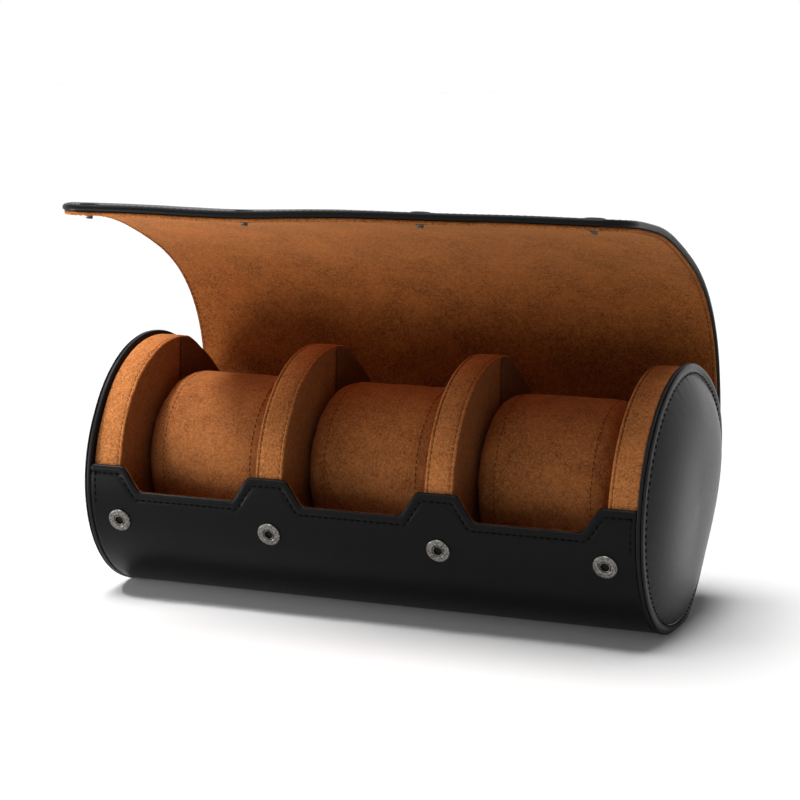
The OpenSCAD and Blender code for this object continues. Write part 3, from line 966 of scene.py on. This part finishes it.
def settle(piece, x):
    """Presses a cushion's ends flat between its dividers and keeps its girth."""
    co = np.array([v.co for v in piece.data.vertices]) / MM
    co[:, 0] = x + np.clip(co[:, 0] - x, -CUSHION_HALF, CUSHION_HALF)
    middle = np.array((0, CUSHION_Z))
    away = co[:, 1:] - middle
    radius = np.linalg.norm(away, axis=1, keepdims=True)
    co[:, 1:] = middle + away * np.minimum(1, (CUSHION_R + CUSHION_LOOSE) / np.maximum(radius, 1e-6))
    piece.data.vertices.foreach_set("co", (co * MM).ravel())
    piece.data.update()
    smooth(piece)
    piece.data.materials.clear()
    piece.data.materials.append(CUSHION_SUEDE)


# ---------------------------------------------------------------- the lid
def lid_line():
    """The lid's inner face, from under the fold to its front: arc lengths from the hinge, points, runs."""
    step = 0.25
    places = np.arange(0, LID_LENGTH + step, step)
    turns = np.radians(between(LID_TURNS, places))
    kernel = np.hanning(25) / np.hanning(25).sum()
    turns = np.convolve(np.pad(turns, 12, mode="edge"), kernel, mode="valid")
    middle = (turns[1:] + turns[:-1]) / 2
    upper = np.stack([
        HINGE.y + np.concatenate([[0], np.cumsum(np.cos(middle) * step)]),
        HINGE.z + np.concatenate([[0], np.cumsum(np.sin(middle) * step)]),
    ], axis=-1)
    inner_r = LINING_R - LINING_T
    angle = np.arcsin((np.arange(SPINE_LOW_Z, FOLD.z - 0.9, step) - AXIS_Z) / inner_r)
    lower = np.stack([inner_r * np.cos(angle), AXIS_Z + inner_r * np.sin(angle)], axis=-1)
    reach = 3.0
    a, d = lower[-1], upper[0]
    b = a + reach * np.array((-math.sin(angle[-1]), math.cos(angle[-1])))
    c = d - reach * np.array((math.cos(turns[0]), math.sin(turns[0])))
    t = np.linspace(0, 1, 40)[1:-1, None]
    bend = (1 - t) ** 3 * a + 3 * t * (1 - t) ** 2 * b + 3 * t**2 * (1 - t) * c + t**3 * d
    points = np.concatenate([lower, bend, upper])
    lengths = np.concatenate([[0], np.cumsum(np.linalg.norm(np.diff(points, axis=0), axis=1))])
    lengths -= lengths[len(lower) + len(bend)]
    even = np.arange(lengths[0], lengths[-1], step)
    points = np.stack([np.interp(even, lengths, points[:, i]) for i in (0, 1)], axis=-1)
    run = np.gradient(points, axis=0)
    run /= np.linalg.norm(run, axis=1, keepdims=True)
    return even, points, run


LINE_S, LINE_P, LINE_RUN = lid_line()


def at_line(s):
    """The lid's inner face at s: its point and its outward normal, in the YZ plane."""
    point = np.stack([np.interp(s, LINE_S, LINE_P[:, i]) for i in (0, 1)], axis=-1)
    run = np.stack([np.interp(s, LINE_S, LINE_RUN[:, i]) for i in (0, 1)], axis=-1)
    run /= np.linalg.norm(run, axis=-1, keepdims=True)
    return point, np.stack([run[..., 1], -run[..., 0]], axis=-1)


def nearest_s(point):
    """The arc length at which the lid's inner face passes nearest to a point of the YZ plane."""
    return float(LINE_S[np.argmin(np.linalg.norm(LINE_P - np.array((point[1], point[2])), axis=1))])


def lid_half_width(s, margin):
    """Half the lid's width at s, its front corners rounded."""
    start, run = LID_WIDENS
    wider = LID_HALF - margin - HALF + SPINE_END_GAP
    side = (HALF - SPINE_END_GAP) + wider * eased((s - start) / run)
    past = np.clip(s - (LID_LENGTH - LID_CORNER_R), 0, LID_CORNER_R - margin)
    corner = LID_CORNER_R - margin
    return side - corner + np.sqrt(np.maximum(corner**2 - past**2, 0))


def lid_edge_distance(x, s):
    """How far a point of the lid is from its free edge."""
    to_side = lid_half_width(np.minimum(s, LID_LENGTH - LID_CORNER_R), 0.0) - np.abs(x)
    to_front = LID_LENGTH - s
    in_corner = (to_side < LID_CORNER_R) & (to_front < LID_CORNER_R)
    rounded = LID_CORNER_R - np.hypot(LID_CORNER_R - to_side, LID_CORNER_R - to_front)
    return np.where(in_corner, rounded, np.minimum(to_side, to_front))


def lid_wave(x, s):
    """How far the lid's soft sheet stands off its even curve."""
    loose_from, loose_run = LID_LOOSE
    front = eased((s - loose_from) / loose_run)
    ripple = front * sum(height * np.sin(x / wave + phase) for height, wave, phase in LID_RIPPLES)
    twist = LID_TWIST * (np.maximum(s, 0) / LID_LENGTH) ** 2 * (LID_HALF - x) / (2 * LID_HALF)
    depth, start, run, left_start, left_run = LID_CORNER_DROOP
    droop = depth * eased((s - start) / run) * eased((-x - left_start) / left_run)
    centre, reach, depth = LID_DIP
    dip = depth * front * bump_at(x, centre, reach)
    centre, reach, depth = LID_FRONT_DIP
    start, run = LID_FRONT_DIP_RUN
    front_dip = depth * eased((s - start) / run) * bump_at(x, centre, reach)
    height, along, wide = LID_UNEVEN
    return ripple + twist - droop - dip - front_dip + height * np.sin(s / along) * np.sin(x / wide)


def lid_point(x, s, off):
    """A point of the lid, off millimetres outside its inner face."""
    point, out = at_line(s)
    off = off + lid_wave(x, s)
    return np.stack([x, point[..., 0] + out[..., 0] * off, point[..., 1] + out[..., 1] * off], axis=-1)


def across(half_width, lip):
    """Places across a sheet, close together near its edges."""
    close = np.array([0.0, 0.4, 0.8, 1.15, 1.5, 1.85, 2.2, 2.7, 3.4, 4.5, 6.5]) + lip
    middle = np.linspace(-1, 1, 61)[1:-1] * (half_width - close[-1] - 2)
    return np.concatenate([-half_width + close, middle, half_width - close[::-1]])


def lid_ring(s, half_width, low, high, lip, press):
    """A ring round one sheet of the lid at s, between the offsets low and high, with rounded sides."""
    x = across(half_width, lip)
    distance = lid_edge_distance(x, s)
    groove = press * bump_at(distance, LID_STITCH_INSET, 0.5)
    under = lid_point(x, s + 0 * x, low + groove)
    over = lid_point(x, s + 0 * x, high - groove * 0.8)
    turn = np.linspace(0, math.pi, 7)[1:-1]
    centre = (low + high) / 2
    out, down = half_width - lip + lip * np.sin(turn), (centre - low) * np.cos(turn)
    right = lid_point(out, s + 0 * turn, centre - down)
    left = lid_point(-out, s + 0 * turn, centre + down)
    return np.concatenate([under, right, over[::-1], left])


def sheet_bounds(kind, s):
    """The offsets between which one sheet of the lid lies at s."""
    start, run = LID_THICKENS
    full = eased((s - start) / run)
    lining = LINING_T + (LID_LINING_T - LINING_T) * full
    cover = COVER_T + (LID_COVER_T - COVER_T) * full
    swell = LID_FRONT_SWELL * eased((s - LID_FRONT_S + LID_FRONT_RUN / 2) / LID_FRONT_RUN)
    if kind == "lining":
        return -swell, lining + swell / 2
    return lining + PLY_GAP + swell / 2, lining + PLY_GAP + cover


def lid_sheet(kind, name, start, end, free_end, material):
    """A stretch of one of the lid's two sheets, from start to end along it."""
    margin = LID_MARGIN if kind == "lining" else 0.0
    press = LINING_PRESS if kind == "lining" else COVER_PRESS
    front = LID_LENGTH - margin
    stop = min(end, front)
    rings = []
    low, high = sheet_bounds(kind, stop)
    lip = (high - low) / 2
    last = front - lip if free_end else stop
    seam = np.array((0, 0.05, 0.25, 0.7))
    places = list(start + seam) + list(np.linspace(start + 1.5, last - 1.5, int((last - start) / 1.5)))
    if free_end:
        places = [s for s in places if s < front - 8] + list(np.arange(front - 8, last, 0.5)) + [last]
    else:
        places += list(last - seam[::-1])
    for s in places:
        low, high = sheet_bounds(kind, s)
        rings.append(lid_ring(s, float(lid_half_width(s, margin)), low, high, lip, press))
    if free_end:
        for turn in np.linspace(0, math.pi / 2, 6)[1:]:
            shrink = lip * (1 - math.cos(turn)) * 0.98
            s = last + lip * math.sin(turn)
            width = float(lid_half_width(min(s, front - 0.02), margin)) - shrink * 0.3
            side = lip * max(math.cos(turn), 0.05)
            rings.append(lid_ring(s, width, low + shrink, high - shrink, side, 0.0))
    return sweep(name, rings, material)


PANEL_S = [nearest_s(Vector(JOINTS[name]["pos_m"]) / MM) for name in PANEL_JOINTS] + [LID_LENGTH]
PANEL_MIDDLE = [(a + b) / 2 for a, b in zip(PANEL_S, PANEL_S[1:])]
SPINE_MIDDLE = nearest_s((0, FOLD.y, FOLD.z + SPINE_MIDDLE_RISE))


def line_place(s):
    """The lid's middle line at s as a point of the frame, in metres."""
    point, out = at_line(np.array(s))
    return (0, *((point + out * BEND_DEPTH) * MM))


def lid_stretches():
    """Each stretch of the lid: its ends, the two bodies it lies between, and where a bend between them starts
    and ends.
    """
    fold = [(0, FOLD.y * MM, (FOLD.z + rise) * MM) for rise in FOLD_BEND]
    stretches = [(float(LINE_S[0]), SPINE_MIDDLE, "case", "spine", fold[0], fold[1])]
    hinge = [line_place(s) for s in HINGE_BEND]
    stretches.append((SPINE_MIDDLE, PANEL_MIDDLE[0], "spine", "lid_panel_1", *hinge))
    for k in range(4):
        start, end = PANEL_MIDDLE[k], PANEL_MIDDLE[k + 1]
        bodies = f"lid_panel_{k + 1}", f"lid_panel_{k + 2}"
        stretches.append((start, end, *bodies, line_place(start), line_place(end)))
    stretches.append((PANEL_MIDDLE[4], LID_LENGTH, "lid_panel_5", None, None, None))
    return stretches


def lid_outline(inset, off, start, end):
    """The lid's stitch line between two places along it, inset from its free edge."""
    corner = LID_CORNER_R - inset
    turn_s = LID_LENGTH - LID_CORNER_R
    sides = []
    for side in (1, -1):
        s = np.arange(start, min(end, turn_s), 0.7)
        x = side * (lid_half_width(s, 0.0) - inset)
        sides.append(lid_point(x, s, off(s)))
    if end < LID_LENGTH:
        return sides
    turn = np.linspace(0, math.pi / 2, 24)
    straight = LID_HALF - LID_CORNER_R
    front_x = np.linspace(straight, -straight, 200)[1:-1]
    corner_x = straight + corner * np.cos(turn)
    corner_s = turn_s + corner * np.sin(turn)
    x = np.concatenate([corner_x, front_x, -corner_x[::-1]])
    s = np.concatenate([corner_s, 0 * front_x + LID_LENGTH - inset, corner_s[::-1]])
    front = lid_point(x, s, off(s))
    return [np.concatenate([sides[0], front, sides[1][::-1]])]


def under_lining(s):
    """How deep the thread lies in the lining's pressed seam."""
    return sheet_bounds("lining", s)[0] + LINING_THREAD_DEPTH


def under_cover(s):
    """How deep the thread lies in the cover's pressed seam."""
    return sheet_bounds("cover", s)[1] - COVER_THREAD_DEPTH


def lid():
    for k, (start, end, first, second, bend_start, bend_end) in enumerate(lid_stretches()):
        free_end = second is None
        cover = lid_sheet("cover", f"lid_leather_{k}", start, end, free_end, BLACK_LEATHER)
        lining = lid_sheet("lining", f"lid_suede_{k}", start, end, free_end, LID_SUEDE)
        made = [(cover, "black_leather"), (lining, "tan_suede")]
        if k > 0:
            inside = lid_outline(LID_STITCH_INSET, under_lining, max(start, 3), end)
            outside = lid_outline(LID_STITCH_INSET, under_cover, max(start, 3), end)
            made.append((stitches(f"lid_suede_stitches_{k}", inside, BROWN_THREAD, pitch=2.3), "tan_suede"))
            made.append((stitches(f"lid_leather_stitches_{k}", outside, BLACK_THREAD), "black_leather"))
        for piece, slot in made:
            if second:
                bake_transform(piece)
            else:
                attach(piece, first)
        if k == 0:
            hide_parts("spine_cover")
            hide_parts("spine_lining")
        if k > 1:
            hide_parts(f"lid_cover_{k - 1}", f"lid_board_{k - 1}")
            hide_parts(f"lid_lining_{k - 1}")


# ---------------------------------------------------------------- the snap fasteners
def solids_of(cad_node, count):
    """The points, in millimetres, of each of a node's solids, in their order along the case."""
    co = np.array([v.co for v in frame["nodes"][cad_node].data.vertices]) / MM
    order = np.argsort(co[:, 0])
    gaps = np.diff(co[order, 0])
    cuts = sorted(np.argsort(gaps)[-(count - 1):] + 1)
    return [np.array(group) for group in np.split(co[order], cuts)]


def in_mouth(foot, out):
    """A test for places, in metres, inside the mouth of the socket at foot."""
    def test(centre, normal):
        away = np.array(centre) / MM - foot
        return np.linalg.norm(away - out * (away @ out)) < SOCKET_MOUTH_R
    return test


def snaps():
    for number, solid in enumerate(solids_of("snap_sockets", 4), 1):
        centre = (solid.min(0) + solid.max(0)) / 2
        out = np.array((0, centre[1], centre[2] - AXIS_Z))
        out /= np.linalg.norm(out)
        foot = np.array((centre[0], 0, AXIS_Z)) + out * CASE_R
        ring = lathe(f"snap_socket_ring_{number}", SOCKET_RING, foot, out, SNAP_METAL, 48)
        # The faces inside the socket's mouth take the darker metal: painted shade in its hole
        paint_faces(ring, SOCKET_SHADE_METAL, in_mouth(foot, out))
        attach(ring, "case")
        if number == 1:
            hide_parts("snap_sockets")
    for number, solid in enumerate(solids_of("snap_studs", 4), 1):
        x = (solid[:, 0].min() + solid[:, 0].max()) / 2
        middle = solid.mean(0)
        s = nearest_s(middle) - STUD_BACK
        point, out = at_line(np.array(s))
        wave = float(lid_wave(np.array(x), np.array(s)))
        face, top = sheet_bounds("lining", s)[0], sheet_bounds("cover", s)[1]
        inward = -np.array((0, *out))
        foot = np.array((x, *(point + out * (wave + face))))
        made = lathe(f"snap_stud_{number}", STUD, foot, inward, STUD_METAL, 40)
        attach(made, "lid_panel_5")
        if number == 1:
            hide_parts("snap_studs")
        place = foot - inward * (top - face)
        cover = lathe(f"stud_cap_leather_{number}", STUD_CAP, place, -inward, BLACK_LEATHER, 48)
        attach(cover, "lid_panel_5")
        if number == 1:
            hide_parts("stud_caps")


def finish_cad_nodes():
    """Gives the CAD nodes that show, or lie hidden inside, their own finishes."""
    finishes = {"socket_springs": SNAP_METAL, "socket_backs": SOCKET_SHADE_METAL}
    for name, material in finishes.items():
        made = frame["nodes"][name]
        made.data.materials.clear()
        made.data.materials.append(material)


# ---------------------------------------------------------------- the studio
CAMERA_TURN = 22.7
CAMERA_RISE = 11.7
CAMERA_DISTANCE = 932.4
FOCAL_PX = 2405.5
PICTURE_PX = 800
TARGET_PX = (401.9, 475.3)
SENSOR = 36.0
FLOOR_REACH = 4.0
FLOOR_DROP = 0.0002
# What the floor gives the object, and what the camera sees of it
FLOOR_GREY = (0.6, 0.6, 0.6)
FLOOR_SHOWN = (0.93, 0.93, 0.93)
FLOOR_GLOW = 0.03
SKY_LEVEL = 0.06
# Suns: (name, place it shines from, strength, how wide it looks in degrees)
SUNS = (
    ("top", (-0.12, -0.12, 1.0), 3.2, 32),
    ("fill", (-0.8, -0.62, 0.5), 0.22, 30),
)
# A low lamp at the left that reaches under the lid
LOW_FROM = (-0.3, -0.2, 0.032)
LOW_AIM = (-0.06, 0, 0.15)
LOW_POWER = 0.55
LOW_SIZE = 0.14
# Narrow lamps, on the left end and under the lid's left: (name, place, aim, power, spread in degrees, radius)
SPOTS = (
    ("spot", (-0.36, -0.14, 0.54), (-0.115, -0.01, 0.098), 15.0, 15, 0.05),
    ("lid_lamp", (-0.29, -0.21, 0.05), (-0.092, -0.052, 0.155), 2.5, 28, 0.03),
)


def shown(tree):
    """1 where the camera, or a reflection, looks at the background itself."""
    ray = node(tree, "ShaderNodeLightPath")
    seen = math_node(tree, "MAXIMUM", ray.outputs["Is Camera Ray"], ray.outputs["Is Transmission Ray"])
    return math_node(tree, "MAXIMUM", seen, ray.outputs["Is Glossy Ray"])


def camera_axis(turn, rise):
    """The direction to the camera at that turn and rise, in radians."""
    return Vector((math.sin(turn) * math.cos(rise), -math.cos(turn) * math.cos(rise), math.sin(rise)))


def camera():
    turn, rise = math.radians(CAMERA_TURN), math.radians(CAMERA_RISE)
    aim_turn = turn + math.atan((TARGET_PX[0] - PICTURE_PX / 2) / FOCAL_PX)
    aim_rise = rise - math.atan((TARGET_PX[1] - PICTURE_PX / 2) / FOCAL_PX)
    data = bpy.data.cameras.new("camera")
    data.sensor_width = SENSOR
    data.lens = FOCAL_PX / PICTURE_PX * SENSOR
    data.clip_end = 20
    made = new_object("camera", data)
    made.location = (Vector((0, 0, AXIS_Z)) + camera_axis(turn, rise) * CAMERA_DISTANCE) * MM
    made.rotation_euler = (-camera_axis(aim_turn, aim_rise)).to_track_quat("-Z", "Y").to_euler()
    bpy.context.scene.camera = made


def floor():
    mesh = bpy.data.meshes.new("floor")
    r = FLOOR_REACH
    mesh.from_pydata([(-r, -r, 0), (r, -r, 0), (r, r, 0), (-r, r, 0)], [], [(0, 1, 2, 3)])
    made = new_object("floor", mesh)
    made.location.z = -FLOOR_DROP
    material, tree, skin = new_material("floor_white")
    link(tree, colour_between(tree, shown(tree), FLOOR_GREY, FLOOR_SHOWN), skin.inputs["Base Color"])
    set_inputs(skin, {"Roughness": 0.9, "Specular IOR Level": 0.1, "Emission Color": (1, 1, 1, 1)})
    link(tree, math_node(tree, "MULTIPLY", shown(tree), FLOOR_GLOW), skin.inputs["Emission Strength"])
    mesh.materials.append(material)


def sky():
    world = bpy.data.worlds.new("studio")
    bpy.context.scene.world = world
    world.use_nodes = True
    tree = world.node_tree
    light = tree.nodes["Background"]
    light.inputs["Color"].default_value = (1, 1, 1, 1)
    level = math_node(tree, "MULTIPLY_ADD", shown(tree), 1 - SKY_LEVEL, SKY_LEVEL)
    link(tree, level, light.inputs["Strength"])


def lamp(name, kind, power, place, aim):
    """A lamp of that kind at place, turned to aim; gives its settings."""
    data = bpy.data.lights.new(name, kind)
    data.energy = power
    made = new_object(name, data)
    made.location = place
    made.rotation_euler = (Vector(place) - Vector(aim)).to_track_quat("Z", "Y").to_euler()
    return data


def studio():
    camera()
    floor()
    sky()
    for name, place, strength, angle in SUNS:
        lamp(name, "SUN", strength, place, (0, 0, 0)).angle = math.radians(angle)
    lamp("low", "AREA", LOW_POWER, LOW_FROM, LOW_AIM).size = LOW_SIZE
    for name, place, aim, power, spread, radius in SPOTS:
        data = lamp(name, "SPOT", power, place, aim)
        data.spot_size = math.radians(spread)
        data.spot_blend = 1.0
        data.shadow_soft_size = radius
    bpy.context.scene.view_settings.view_transform = "Standard"


studio()
case_wall()
for cap_side, cap_word in ((-1, "left"), (1, "right")):
    end_cap(cap_side, cap_word)
for number in (1, 2, 3, 4):
    divider(number)
for number in (1, 2, 3):
    cushion(number)
lid()
snaps()
finish_cad_nodes()
